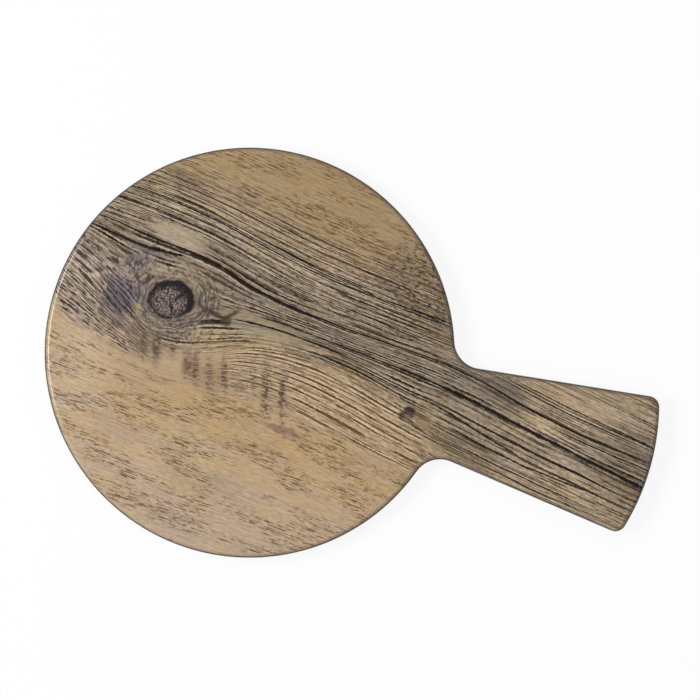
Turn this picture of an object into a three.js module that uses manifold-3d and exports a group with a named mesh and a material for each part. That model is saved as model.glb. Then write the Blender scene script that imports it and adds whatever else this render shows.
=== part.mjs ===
// Round serving board with a flared paddle handle, compression-moulded in melamine.
// Millimetres, +Z up, handle along +X. The origin is the middle of the footprint, on the table.
//
// The board is a skirted shell: a thick plate whose edge turns down all round, hollow underneath.
// A printed decor sheet and a clear overlay are pressed onto its top and wrap over the rounded edge
// to a ledge in the skirt. Non-slip feet are taped into seats in bosses that hang from the plate.

import * as THREE from "three";
import { mergeVertices } from "three/addons/utils/BufferGeometryUtils.js";
import Module from "manifold-3d";

const wasm = await Module();
wasm.setup();

// Outline, seen from above
const discDiameter = 250;
const handleReach = 254; // disc centre to the crown of the butt end
const neckWidth = 56.5; // flank to flank, where the handle meets the disc's circle
const buttWidth = 88.5; // flank to flank at the butt end, before its corners are rounded
const neckFillet = 17;
const buttCorner = 7;
const buttCrown = 144; // radius of the arched butt end
const leastCorner = 1.5; // an inset outline never gets sharper corners than this

// Section through the edge
const boardHeight = 13; // from the hem of the skirt to the serving face
const plateThickness = 6; // print and overlay included
const edgeRadius = 3;
const wallDraft = THREE.MathUtils.degToRad(3);
const skirtWidth = 4.5; // at the hem
const recessDraft = THREE.MathUtils.degToRad(5);
const recessFillet = 2;
const hemRadius = 0.8;

// Pressed layers
const decorThickness = 0.2;
const overlayThickness = 0.3;
const wrapDepth = 5.5; // from the serving face down to the ledge where both layers end

// Feet, their tape and their seats
const footStand = 2; // the hem's height above the table
const footDiameter = 14;
const footEdge = 1;
const footClearance = 0.3; // round the foot, in its seat
const tapeDiameter = 11;
const tapeThickness = 0.4;
const seatDepth = 1.2;
const seatWall = 2.8; // boss wall round the seat
const bossSetback = 0.6; // how far a boss stops short of the hem
const bossDraft = THREE.MathUtils.degToRad(2);
const bossFillet = 1.5;
const discFootCount = 4;
const discFootCircle = 186; // diameter of the circle through the disc's feet
const handleFootInset = 32; // from the crown of the butt end

// Steps along each curve
const discSteps = 38;
const neckSteps = 6;
const cornerSteps = 5;
const buttSteps = 7;
const edgeSteps = 4;
const hemSteps = 2;
const filletSteps = 2;
const roundSteps = 28; // round a foot, boss or tape disc

// Levels and radii that follow
const discRadius = discDiameter / 2;
const hemLevel = footStand;
const topLevel = hemLevel + boardHeight;
const ceilingLevel = topLevel - plateThickness;
const ledgeLevel = topLevel - wrapDepth;
const skinThickness = decorThickness + overlayThickness;
const bossLevel = hemLevel + bossSetback;
const seatLevel = bossLevel + seatDepth;
const footTop = seatLevel - tapeThickness;
const seatRadius = footDiameter / 2 + footClearance;
const bossRadius = seatRadius + seatWall;

// Points on an arc, both ends included
function arc(centre, radius, from, to, steps) {
  const points = [];
  for (let i = 0; i <= steps; i++) {
    const angle = from + ((to - from) * i) / steps;
    const spoke = new THREE.Vector2(Math.cos(angle), Math.sin(angle));
    points.push(spoke.multiplyScalar(radius).add(centre));
  }
  return points;
}

// Upper half of the board's outline, moved in by inset, from the crown of the butt end
// round to the far side of the disc: butt arc, corner, straight flank, neck fillet, disc.
function halfOutline(inset) {
  const flare = Math.atan2((buttWidth - neckWidth) / 2, handleReach - discRadius);
  const along = new THREE.Vector2(Math.cos(flare), Math.sin(flare));
  const outward = new THREE.Vector2(-along.y, along.x);
  const flankOffset = outward.dot(new THREE.Vector2(discRadius, neckWidth / 2));
  const onFlankFrame = (off, run) =>
    new THREE.Vector2().addScaledVector(outward, off).addScaledVector(along, run);

  const disc = new THREE.Vector2(0, 0);
  const butt = new THREE.Vector2(handleReach - buttCrown, 0);

  // The neck fillet touches the disc and the flank from outside, so its centre stays put.
  const neckOff = flankOffset + neckFillet;
  const neck = onFlankFrame(neckOff, Math.sqrt((discRadius + neckFillet) ** 2 - neckOff ** 2));

  // The corner touches the flank and the butt arc from inside.
  const corner = Math.max(buttCorner - inset, leastCorner);
  const cornerOff = flankOffset - inset - corner;
  const cornerReach = buttCrown - inset - corner;
  const cornerRun = Math.sqrt(cornerReach ** 2 - (cornerOff - outward.dot(butt)) ** 2);
  const cornerCentre = onFlankFrame(cornerOff, along.dot(butt) + cornerRun);

  const buttEnd = cornerCentre.clone().sub(butt).angle();
  const flankAngle = outward.angle();
  const neckAngle = neck.angle();
  return [
    ...arc(butt, buttCrown - inset, 0, buttEnd, buttSteps),
    ...arc(cornerCentre, corner, buttEnd, flankAngle, cornerSteps).slice(1),
    ...arc(neck, neckFillet + inset, flankAngle + Math.PI, neckAngle + Math.PI, neckSteps),
    ...arc(disc, discRadius - inset, neckAngle, Math.PI, discSteps).slice(1),
  ];
}

// Whole outline, counter-clockwise, each point once
function outline(inset) {
  const upper = halfOutline(inset);
  const lower = upper.slice(1, -1).reverse();
  return [...upper, ...lower.map((point) => new THREE.Vector2(point.x, -point.y))];
}

// Closed solid whose section is carried round the outline. The section is a list of
// (inset, level) points from the edge of its upper face, out, down and under to its lower face.
function carriedRound(section) {
  const rings = section.map((point) => outline(point.x));
  const count = rings[0].length;
  const positions = [];
  rings.forEach((ring, i) => ring.forEach((p) => positions.push(p.x, p.y, section[i].y)));

  const faces = [];
  for (let i = 0; i + 1 < rings.length; i++) {
    for (let j = 0; j < count; j++) {
      const next = (j + 1) % count;
      const [a, b] = [i * count + j, i * count + next];
      const [c, d] = [a + count, b + count];
      faces.push(a, c, b, b, c, d);
    }
  }
  const last = (rings.length - 1) * count;
  for (const [a, b, c] of THREE.ShapeUtils.triangulateShape(rings[0], [])) faces.push(a, b, c);
  for (const [a, b, c] of THREE.ShapeUtils.triangulateShape(rings.at(-1), []))
    faces.push(last + a, last + c, last + b);

  const geometry = new THREE.BufferGeometry();
  geometry.setAttribute("position", new THREE.Float32BufferAttribute(positions, 3));
  return geometry.setIndex(faces);
}

// Section arc in (inset, level), with angles from straight out, anticlockwise
function sectionArc(inset, level, radius, from, to, steps) {
  return arc(new THREE.Vector2(), radius, from, to, steps).map(
    (p) => new THREE.Vector2(inset - p.x, level + p.y),
  );
}

// Inset of the drafted outer wall at a level, for a surface that lies depth below the outside
const wallInset = (level, depth = 0) =>
  (level - hemLevel) * Math.tan(wallDraft) + depth / Math.cos(wallDraft);

const recessInset = (level) => skirtWidth + (level - hemLevel) * Math.tan(recessDraft);

// From the rim of the serving face, over the rounded edge, down to the ledge
function wrappedEdge(depth) {
  const level = topLevel - edgeRadius;
  const centre = wallInset(level, edgeRadius);
  return [
    ...sectionArc(centre, level, edgeRadius - depth, Math.PI / 2, wallDraft, edgeSteps),
    new THREE.Vector2(wallInset(ledgeLevel, depth), ledgeLevel),
  ];
}

// A pressed layer between two depths below the outside
function layer(outerDepth, innerDepth) {
  return carriedRound([...wrappedEdge(outerDepth), ...wrappedEdge(innerDepth).reverse()]);
}

// Skirt from the ledge down round the hem and up to the recess ceiling
function skirt() {
  const hem = hemLevel + hemRadius;
  const root = ceilingLevel - recessFillet;
  const outerCentre = wallInset(hem, hemRadius);
  const innerCentre = recessInset(hem) - hemRadius / Math.cos(recessDraft);
  const filletCentre = recessInset(root) + recessFillet / Math.cos(recessDraft);
  return [
    new THREE.Vector2(wallInset(ledgeLevel), ledgeLevel),
    ...sectionArc(outerCentre, hem, hemRadius, wallDraft, -Math.PI / 2, hemSteps),
    ...sectionArc(innerCentre, hem, hemRadius, -Math.PI / 2, recessDraft - Math.PI, hemSteps),
    ...sectionArc(filletCentre, root, recessFillet, recessDraft, Math.PI / 2, filletSteps),
  ];
}

function revolved(profile) {
  const points = profile.map(([radius, level]) => new THREE.Vector2(radius, level));
  return new THREE.LatheGeometry(points, roundSteps).rotateX(Math.PI / 2);
}

// Boss that hangs from the ceiling, with a filleted root sunk into the plate
function boss() {
  const sunk = ceilingLevel + plateThickness / 2;
  const rootLevel = ceilingLevel - bossFillet;
  const rootRadius = bossRadius + (rootLevel - bossLevel) * Math.tan(bossDraft);
  const root = arc(
    new THREE.Vector2(rootRadius + bossFillet, rootLevel),
    bossFillet,
    Math.PI,
    Math.PI / 2,
    filletSteps,
  );
  return revolved([
    [0, bossLevel],
    [bossRadius, bossLevel],
    ...root.map((p) => [p.x, p.y]),
    [rootRadius + bossFillet, sunk],
    [0, sunk],
  ]);
}

function seat() {
  return revolved([
    [0, hemLevel],
    [seatRadius, hemLevel],
    [seatRadius, seatLevel],
    [0, seatLevel],
  ]);
}

function foot() {
  const radius = footDiameter / 2;
  const tread = arc(
    new THREE.Vector2(radius - footEdge, footEdge),
    footEdge,
    -Math.PI / 2,
    0,
    filletSteps,
  );
  return revolved([[0, 0], ...tread.map((p) => [p.x, p.y]), [radius, footTop], [0, footTop]]);
}

function tape() {
  return revolved([
    [0, footTop],
    [tapeDiameter / 2, footTop],
    [tapeDiameter / 2, seatLevel],
    [0, seatLevel],
  ]);
}

// Where the feet stand: evenly round the disc, and one under the handle
function footPlaces() {
  const places = [];
  for (let i = 0; i < discFootCount; i++) {
    const angle = ((i + 0.5) / discFootCount) * 2 * Math.PI;
    const spoke = new THREE.Vector2(Math.cos(angle), Math.sin(angle));
    places.push(spoke.multiplyScalar(discFootCircle / 2));
  }
  places.push(new THREE.Vector2(handleReach - handleFootInset, 0));
  return places;
}

function toSolid(geometry) {
  const bare = geometry.clone();
  bare.deleteAttribute("normal");
  bare.deleteAttribute("uv");
  const merged = mergeVertices(bare);
  return new wasm.Manifold(
    new wasm.Mesh({
      numProp: 3,
      vertProperties: merged.getAttribute("position").array,
      triVerts: new Uint32Array(merged.index.array),
    }),
  );
}

function toGeometry(solid) {
  const mesh = solid.getMesh();
  const geometry = new THREE.BufferGeometry();
  geometry.setAttribute("position", new THREE.BufferAttribute(mesh.vertProperties, 3));
  return geometry.setIndex(new THREE.BufferAttribute(mesh.triVerts, 1));
}

// Skirted shell with its bosses joined on and the seats cut
function moulding() {
  let shell = toSolid(carriedRound([...wrappedEdge(skinThickness), ...skirt()]));
  for (const { x, y } of footPlaces()) {
    shell = shell.add(toSolid(boss().translate(x, y, 0)));
    shell = shell.subtract(toSolid(seat().translate(x, y, 0)));
  }
  return toGeometry(shell);
}

const materials = {
  melamine: new THREE.MeshStandardMaterial({ color: 0x4a3728, roughness: 0.45, metalness: 0 }),
  decor: new THREE.MeshStandardMaterial({ color: 0x97826a, roughness: 0.6, metalness: 0 }),
  overlay: new THREE.MeshStandardMaterial({
    color: 0xffffff,
    roughness: 0.3,
    metalness: 0,
    transparent: true,
    opacity: 0.12,
  }),
  rubber: new THREE.MeshStandardMaterial({ color: 0x1d1b1a, roughness: 0.85, metalness: 0 }),
  tape: new THREE.MeshStandardMaterial({ color: 0xd8d4c8, roughness: 0.7, metalness: 0 }),
};

function piece(name, geometry, material) {
  geometry.computeVertexNormals();
  const mesh = new THREE.Mesh(geometry, material);
  mesh.name = name;
  return mesh;
}

const board = new THREE.Group();
board.add(piece("board_moulding", moulding(), materials.melamine));
board.add(piece("decor_sheet", layer(overlayThickness, skinThickness), materials.decor));
board.add(piece("clear_overlay", layer(0, overlayThickness), materials.overlay));
footPlaces().forEach(({ x, y }, i) => {
  board.add(piece(`foot_tape_${i + 1}`, tape(), materials.tape));
  board.children.at(-1).position.set(x, y, 0);
  board.add(piece(`foot_${i + 1}`, foot(), materials.rubber));
  board.children.at(-1).position.set(x, y, 0);
});

// The outline runs from the disc's far side to the crown of the butt end.
board.position.x = (discRadius - handleReach) / 2;

const model = new THREE.Group();
model.add(board);

export default model;
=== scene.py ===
import math

import bpy
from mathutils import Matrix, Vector


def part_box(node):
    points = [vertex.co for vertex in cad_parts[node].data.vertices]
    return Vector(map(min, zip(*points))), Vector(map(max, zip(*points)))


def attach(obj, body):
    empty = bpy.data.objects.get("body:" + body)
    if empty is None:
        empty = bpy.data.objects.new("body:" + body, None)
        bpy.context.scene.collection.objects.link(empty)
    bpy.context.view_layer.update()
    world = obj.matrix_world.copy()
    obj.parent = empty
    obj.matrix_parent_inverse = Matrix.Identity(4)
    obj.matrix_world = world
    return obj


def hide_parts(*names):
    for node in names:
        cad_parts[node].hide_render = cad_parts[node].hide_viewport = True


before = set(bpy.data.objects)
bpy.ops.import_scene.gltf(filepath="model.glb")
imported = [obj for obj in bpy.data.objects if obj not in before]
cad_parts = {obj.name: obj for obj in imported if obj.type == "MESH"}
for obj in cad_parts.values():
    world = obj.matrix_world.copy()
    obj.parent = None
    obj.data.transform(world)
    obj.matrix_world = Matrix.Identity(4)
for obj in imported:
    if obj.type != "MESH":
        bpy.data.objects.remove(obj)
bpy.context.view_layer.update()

mm = 0.001
weld = 0.01 * mm  # points nearer than this become one
levelFace = 0.999  # least z of the normal of a level face
up, down = 1, -1

# The board's outline and edge, as moulded. Handle along +X, the feet on z = 0.
boardShape = {
    "discDiameter": 250 * mm,
    "handleReach": 254 * mm,  # disc centre to the crown of the butt end
    "neckWidth": 56.5 * mm,
    "buttWidth": 88.5 * mm,
    "neckFillet": 17 * mm,
    "buttCorner": 7 * mm,
    "buttCrown": 144 * mm,
    "hemLevel": 2 * mm,
    "ceilingLevel": 9 * mm,  # of the hollow underside
    "ledgeLevel": 9.5 * mm,  # where the printed top ends
    "topLevel": 15 * mm,
    "edgeRadius": 3 * mm,
    "wallDraft": math.radians(3),
    "hemRadius": 0.8 * mm,
    "skirtWidth": 4.5 * mm,
    "recessDraft": math.radians(5),
    "recessFillet": 2 * mm,
    "skinThickness": 0.5 * mm,  # print and overlay together
    "discSteps": 110,
    "neckSteps": 14,
    "cornerSteps": 10,
    "buttSteps": 16,
    "edgeSteps": 8,
    "hemSteps": 4,
    "fitInside": 0.02 * mm,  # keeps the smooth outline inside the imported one
    "land": 0.2 * mm,  # narrow upright band that each section starts from
    "weldLast": 0.002 * mm,  # for the last clean-up of a piece
    "smoothAngle": math.radians(35),
    "rimLoop": 0.4 * mm,  # flat loop inside each rim, so the flats shade flat
}

discRadius = boardShape["discDiameter"] / 2
discX = (discRadius - boardShape["handleReach"]) / 2  # the disc's centre along X


def pickNothing():
    if bpy.context.mode != "OBJECT":
        bpy.ops.object.mode_set(mode="OBJECT")
    bpy.ops.object.select_all(action="DESELECT")


def pickAll():
    bpy.ops.mesh.select_all(action="SELECT")


def extrudeBy(x, y, z):
    bpy.ops.mesh.extrude_region_move(TRANSFORM_OT_translate={"value": (x, y, z)})


def startPoint(name, x, y, z):
    # a small plane merged to one vertex, ready to be spun and extruded
    pickNothing()
    bpy.ops.mesh.primitive_plane_add(size=mm, location=(x, y, z))
    bpy.context.object.name = name
    bpy.ops.object.mode_set(mode="EDIT")
    bpy.ops.mesh.select_mode(type="VERT")
    pickAll()
    bpy.ops.mesh.merge(type="CENTER")
    return bpy.context.object


def spinOn(centreX, centreY, level, angle, steps):
    # the spin operator counts clockwise
    bpy.ops.mesh.spin(steps=steps, angle=-angle, center=(centreX, centreY, level), axis=(0, 0, 1))


def pickLevel(piece, side):
    # selects the level faces that look up or down
    bpy.ops.object.mode_set(mode="EDIT")
    bpy.ops.mesh.select_mode(type="FACE")
    bpy.ops.mesh.select_all(action="DESELECT")
    bpy.ops.object.mode_set(mode="OBJECT")
    for face in piece.data.polygons:
        face.select = face.normal.z * side > levelFace
    bpy.ops.object.mode_set(mode="EDIT")


def carrySection(section):
    # insets the picked face step by step, so the section runs round the whole outline
    for (inset, level), (nextInset, nextLevel) in zip(section, section[1:]):
        bpy.ops.mesh.inset(
            thickness=nextInset - inset,
            depth=nextLevel - level,
            use_even_offset=True,
            use_relative_offset=False,
        )


def finishPiece(piece):
    pickNothing()
    piece.select_set(True)
    bpy.context.view_layer.objects.active = piece
    bpy.ops.object.transform_apply(location=True, rotation=True, scale=True)
    bpy.ops.object.mode_set(mode="EDIT")
    pickAll()
    bpy.ops.mesh.remove_doubles(threshold=boardShape["weldLast"])
    bpy.ops.object.mode_set(mode="OBJECT")
    bpy.ops.object.shade_smooth_by_angle(angle=boardShape["smoothAngle"])
    # the big level faces stay flat, so the roundings beside them don't tint them
    bpy.ops.object.mode_set(mode="EDIT")
    bpy.ops.mesh.select_mode(type="FACE")
    bpy.ops.mesh.select_all(action="DESELECT")
    bpy.ops.mesh.select_face_by_sides(number=4, type="GREATER")
    bpy.ops.mesh.faces_shade_flat()
    bpy.ops.object.mode_set(mode="OBJECT")
    pickNothing()


def drawOutline(name, inset, level):
    # butt arc, corner, straight flank, neck fillet and disc, then the mirrored half
    shape = boardShape
    flare = math.atan2((shape["buttWidth"] - shape["neckWidth"]) / 2, shape["handleReach"] - discRadius)
    along = Vector((math.cos(flare), math.sin(flare)))
    outward = Vector((-along.y, along.x))
    flankOffset = outward.dot(Vector((discRadius, shape["neckWidth"] / 2)))
    butt = Vector((shape["handleReach"] - shape["buttCrown"], 0))

    neckOff = flankOffset + shape["neckFillet"]
    neckRun = math.sqrt((discRadius + shape["neckFillet"]) ** 2 - neckOff**2)
    neck = outward * neckOff + along * neckRun

    corner = shape["buttCorner"] - inset
    cornerOff = flankOffset - inset - corner
    cornerReach = shape["buttCrown"] - inset - corner
    cornerRun = math.sqrt(cornerReach**2 - (cornerOff - outward.dot(butt)) ** 2)
    cornerCentre = outward * cornerOff + along * (along.dot(butt) + cornerRun)

    toCorner = cornerCentre - butt
    buttEnd = math.atan2(toCorner.y, toCorner.x)
    flankAngle = math.atan2(outward.y, outward.x)
    neckAngle = math.atan2(neck.y, neck.x)
    flankRun = neckRun - (along.dot(butt) + cornerRun)

    board = startPoint(name, discX + shape["handleReach"] - inset, 0, level)
    spinOn(discX + butt.x, butt.y, level, buttEnd, shape["buttSteps"])
    spinOn(discX + cornerCentre.x, cornerCentre.y, level, flankAngle - buttEnd, shape["cornerSteps"])
    run = along * flankRun
    extrudeBy(run.x, run.y, 0)
    spinOn(discX + neck.x, neck.y, level, neckAngle - flankAngle, shape["neckSteps"])
    spinOn(discX, 0, level, math.pi - neckAngle, shape["discSteps"])

    pickAll()
    bpy.ops.mesh.duplicate()
    bpy.ops.transform.resize(value=(1, -1, 1), center_override=(0, 0, level))
    pickAll()
    bpy.ops.mesh.remove_doubles(threshold=weld)
    bpy.ops.mesh.edge_face_add()
    return board


def wallInset(level, depth=0.0):
    draft = boardShape["wallDraft"]
    drop = (level - boardShape["hemLevel"]) * math.tan(draft)
    return boardShape["fitInside"] + drop + depth / math.cos(draft)


def recessInset(level):
    return boardShape["skirtWidth"] + (level - boardShape["hemLevel"]) * math.tan(boardShape["recessDraft"])


def sectionArc(inset, level, radius, fromAngle, toAngle, steps):
    # angles from the side of smaller insets, upwards
    points = []
    for i in range(steps + 1):
        angle = fromAngle + (toAngle - fromAngle) * i / steps
        points.append((inset - radius * math.cos(angle), level + radius * math.sin(angle)))
    return points


def wrappedEdge(depth):
    # from the ledge up the wall and over the rounded edge, as deep below the outside as asked
    shape = boardShape
    level = shape["topLevel"] - shape["edgeRadius"]
    centre = wallInset(level, shape["edgeRadius"])
    radius = shape["edgeRadius"] - depth
    edge = sectionArc(centre, level, radius, shape["wallDraft"], math.pi / 2, shape["edgeSteps"])
    rim = edge[-1]
    return [
        (wallInset(shape["ledgeLevel"], depth), shape["ledgeLevel"]),
        *edge,
        (rim[0] + shape["rimLoop"], rim[1]),
    ]


def turnedOver(section):
    # for a face that looks down, up is a negative depth
    return [(inset, -level) for inset, level in section]


def solidFromOutline(name, inset, level):
    # the outline filled and raised by its land
    board = drawOutline(name, inset, level)
    extrudeBy(0, 0, boardShape["land"])
    pickAll()
    bpy.ops.mesh.normals_make_consistent(inside=False)
    return board


# Printed top: the decor sheet with its clear overlay, wrapped over the rounded edge

def makePrintedTop():
    shape = boardShape
    ledge = shape["ledgeLevel"]
    outer = wrappedEdge(0)
    inner = wrappedEdge(shape["skinThickness"])
    top = solidFromOutline("printedTop", outer[0][0], ledge)
    pickLevel(top, up)
    carrySection([(outer[0][0], ledge + shape["land"]), *outer[1:]])
    pickLevel(top, down)
    carrySection(turnedOver([outer[0], *inner]))
    finishPiece(top)
    print("printed top:", len(top.data.polygons), "faces")
    return top


# Moulded melamine body: skirt, hem, hollow underside and the bosses that seat the feet

bossShape = {
    "footClearance": 0.3 * mm,
    "seatWall": 2.8 * mm,
    "setback": 0.6 * mm,  # the bosses stop short of the hem
    "seatDepth": 1.2 * mm,
    "draft": math.radians(2),
    "rootFillet": 1.5 * mm,
    "edgeRound": 0.3 * mm,
    "sink": 2 * mm,  # into the plate
    "roundSteps": 64,
    "filletSteps": 5,
}


def spunBoss(name, x, y, footRadius):
    # half section drawn from the middle of the seat, then spun round its own axis
    boss = bossShape
    bottom = boardShape["hemLevel"] + boss["setback"]
    seat = bottom + boss["seatDepth"]
    ceiling = boardShape["ceilingLevel"]
    seatRadius = footRadius + boss["footClearance"]
    wall = seatRadius + boss["seatWall"]
    fillet = boss["rootFillet"]
    rootLevel = ceiling - fillet
    rootRadius = wall + (rootLevel - bottom) * math.tan(boss["draft"])
    edge = boss["edgeRound"]
    path = [(seatRadius, seat), (seatRadius, bottom + edge), (seatRadius + edge, bottom)]
    path += [(wall - edge, bottom), (wall, bottom + edge)]
    path += sectionArc(rootRadius + fillet, rootLevel, fillet, 0, math.pi / 2, boss["filletSteps"])
    path += [(path[-1][0], ceiling + boss["sink"]), (0, ceiling + boss["sink"])]

    piece = startPoint(name, x, y, seat)
    last = (0, seat)
    for point in path:
        extrudeBy(point[0] - last[0], 0, point[1] - last[1])
        last = point
    pickAll()
    spinOn(x, y, 0, 2 * math.pi, boss["roundSteps"])
    pickAll()
    bpy.ops.mesh.remove_doubles(threshold=weld)
    bpy.ops.mesh.normals_make_consistent(inside=False)
    bpy.ops.object.mode_set(mode="OBJECT")
    return piece


def joinOn(piece, added):
    pickNothing()
    bpy.context.view_layer.objects.active = piece
    union = piece.modifiers.new("join " + added.name, "BOOLEAN")
    union.operation = "UNION"
    union.solver = "EXACT"
    union.object = added
    bpy.ops.object.modifier_apply(modifier=union.name)
    bpy.data.objects.remove(added)


def makeMoulding(footPlaces, footRadius):
    shape = boardShape
    hem = shape["hemLevel"] + shape["hemRadius"]
    root = shape["ceilingLevel"] - shape["recessFillet"]
    widest = wallInset(hem)
    moulding = solidFromOutline("boardMoulding", widest, hem)

    under = wrappedEdge(shape["skinThickness"])
    wall = [(widest, hem + shape["land"]), (wallInset(shape["ledgeLevel"]), shape["ledgeLevel"])]
    pickLevel(moulding, up)
    carrySection([*wall, *under])

    outerCentre = wallInset(hem, shape["hemRadius"])
    innerCentre = recessInset(hem) - shape["hemRadius"] / math.cos(shape["recessDraft"])
    filletCentre = recessInset(root) + shape["recessFillet"] / math.cos(shape["recessDraft"])
    steps = shape["hemSteps"]
    draft = shape["recessDraft"]
    recess = sectionArc(filletCentre, root, shape["recessFillet"], draft, math.pi / 2, steps)
    rim = recess[-1]
    section = [
        *sectionArc(outerCentre, hem, shape["hemRadius"], 0, -math.pi / 2, steps),
        *sectionArc(innerCentre, hem, shape["hemRadius"], -math.pi / 2, draft - math.pi, steps),
        *recess,
        (rim[0] + shape["rimLoop"], rim[1]),
    ]
    pickLevel(moulding, down)
    carrySection(turnedOver(section))
    bpy.ops.object.mode_set(mode="OBJECT")

    for i, (x, y) in enumerate(footPlaces):
        joinOn(moulding, spunBoss("boss%d" % (i + 1), x, y, footRadius))
    finishPiece(moulding)
    print("moulding:", len(moulding.data.polygons), "faces,", len(footPlaces), "bosses")
    return moulding


# Rubber feet

footShape = {
    "roundSteps": 64,
    "treadRound": 1 * mm,
    "roundSegments": 5,
    "grooveInset": 1.6 * mm,  # of the ring moulded into the tread
    "grooveSlope": 0.2 * mm,
    "grooveBed": 0.4 * mm,
    "grooveDepth": 0.35 * mm,
    "topRound": 0.25 * mm,
    "topSegments": 2,
}


def makeFoot(low, high):
    foot = footShape
    centre = (low + high) / 2
    pickNothing()
    bpy.ops.mesh.primitive_cylinder_add(
        vertices=foot["roundSteps"],
        radius=(high.x - low.x) / 2,
        depth=high.z - low.z,
        location=centre,
    )
    piece = bpy.context.object
    pickLevel(piece, down)
    bpy.ops.mesh.bevel(offset=foot["treadRound"], segments=foot["roundSegments"], affect="EDGES")
    pickLevel(piece, up)
    bpy.ops.mesh.bevel(offset=foot["topRound"], segments=foot["topSegments"], affect="EDGES")
    pickLevel(piece, down)
    slope, depth = foot["grooveSlope"], foot["grooveDepth"]
    groove = ((foot["grooveInset"], 0), (slope, -depth), (foot["grooveBed"], 0), (slope, depth))
    for width, rise in groove:
        bpy.ops.mesh.inset(thickness=width, depth=rise)
    bpy.ops.object.mode_set(mode="OBJECT")
    return piece


def makeFeet(names):
    # modelled once, then copied to each seat with a mesh of its own
    feet = []
    low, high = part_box(names[0])
    first = makeFoot(low, high)
    for name in names:
        lowHere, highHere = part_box(name)
        piece = first.copy()
        piece.data = first.data.copy()
        piece.name = "rubberFoot" + name.split("_")[1]
        bpy.context.scene.collection.objects.link(piece)
        piece.location = (lowHere + highHere) / 2
        finishPiece(piece)
        feet.append(piece)
    bpy.data.objects.remove(first)
    print("feet:", len(feet))
    return feet


footNames = sorted(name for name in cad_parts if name.startswith("foot_") and "tape" not in name)
tapeNames = sorted(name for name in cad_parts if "tape" in name)
footBoxes = [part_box(name) for name in footNames]
footPlaces = [((low.x + high.x) / 2, (low.y + high.y) / 2) for low, high in footBoxes]
footRadius = (footBoxes[0][1].x - footBoxes[0][0].x) / 2

printedTop = makePrintedTop()
moulding = makeMoulding(footPlaces, footRadius)
feet = makeFeet(footNames)


# Shader helpers. Each finds the node tree from what is plugged into it. Cycles runs nodes in the order
# they are made, so what a node needs is made before it.

def addNode(tree, kind, **settings):
    node = tree.nodes.new("ShaderNode" + kind)
    for name, value in settings.items():
        setattr(node, name, value)
    return node


def plug(socket, value):
    if isinstance(value, bpy.types.NodeSocket):
        socket.id_data.links.new(value, socket)
    else:
        socket.default_value = value


def plugAll(sockets, values):
    for socket, value in zip(sockets, values):
        plug(socket, value)


def treeOf(*values):
    return next(value.id_data for value in values if isinstance(value, bpy.types.NodeSocket))


def calc(operation, *values):
    node = addNode(treeOf(*values), "Math", operation=operation)
    plugAll(node.inputs, values)
    return node.outputs[0]


def vectorCalc(operation, *values):
    node = addNode(treeOf(*values), "VectorMath", operation=operation)
    plugAll(node.inputs, values)
    return node.outputs


def plus(value, added):
    return calc("ADD", value, added)


def minus(value, taken):
    return calc("SUBTRACT", value, taken)


def over(value, divisor):
    return calc("DIVIDE", value, divisor)


def timesPlus(value, factor, added):
    return calc("MULTIPLY_ADD", value, factor, added)


def times(*values):
    result = values[0]
    for value in values[1:]:
        result = calc("MULTIPLY", result, value)
    return result


def largest(*values):
    result = values[0]
    for value in values[1:]:
        result = calc("MAXIMUM", result, value)
    return result


def without(mask, share=1.0):
    # what is left when the mask takes its share away
    return timesPlus(mask, -share, 1.0)


def mapTo(value, low, high, toLow=0.0, toHigh=1.0, ease="SMOOTHSTEP"):
    # a smooth step needs no clamp of its own, and without it the shader stays small
    node = addNode(treeOf(value), "MapRange", interpolation_type=ease, clamp=ease == "LINEAR")
    plugAll(node.inputs, (value, low, high, toLow, toHigh))
    return node.outputs[0]


def fadeIn(value, fromTo):
    return mapTo(value, *fromTo)


def fadeOut(value, fromTo):
    return mapTo(value, *fromTo, 1.0, 0.0)


def between(value, levels):
    # fades in over the first two levels and out over the last two
    return times(fadeIn(value, levels[:2]), fadeOut(value, levels[2:]))


def mixColour(factor, first, second, blend="MIX"):
    # the Mix node keeps its colour sockets behind those for numbers and vectors
    node = addNode(treeOf(factor, first, second), "Mix", data_type="RGBA", blend_type=blend)
    plugAll((node.inputs[0], node.inputs[6], node.inputs[7]), (factor, first, second))
    return node.outputs[2]


def multiplied(colour, tint):
    return mixColour(1.0, colour, tint, blend="MULTIPLY")


def noiseAt(place, detail=2.0, scale=1.0, dimensions="3D"):
    node = addNode(treeOf(place), "TexNoise", noise_dimensions=dimensions)
    plug(node.inputs["W" if dimensions == "1D" else "Vector"], place)
    node.inputs["Scale"].default_value = scale
    node.inputs["Detail"].default_value = detail
    return node.outputs["Fac"]


def aboutZero(noise):
    return minus(noise, 0.5)


def packed(x, y, z=0.0):
    node = addNode(treeOf(x, y, z), "CombineXYZ")
    plugAll(node.inputs, (x, y, z))
    return node.outputs[0]


def parted(vector):
    node = addNode(treeOf(vector), "SeparateXYZ")
    plug(node.inputs[0], vector)
    return node.outputs


def newGroup(name, inputs, outputs):
    group = bpy.data.node_groups.new(name, "ShaderNodeTree")
    for socketName, default in inputs.items():
        kind = "NodeSocketFloat" if isinstance(default, (int, float)) else "NodeSocketVector"
        socket = group.interface.new_socket(socketName, in_out="INPUT", socket_type=kind)
        socket.default_value = default
    for socketName, kind in outputs.items():
        group.interface.new_socket(socketName, in_out="OUTPUT", socket_type="NodeSocket" + kind)
    given = group.nodes.new("NodeGroupInput").outputs
    result = group.nodes.new("NodeGroupOutput").inputs
    return group, given, result


def useGroup(tree, group, inputs, label=""):
    node = addNode(tree, "Group", node_tree=group, label=label)
    for name, value in inputs.items():
        plug(node.inputs[name], value)
    return node.outputs


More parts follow.
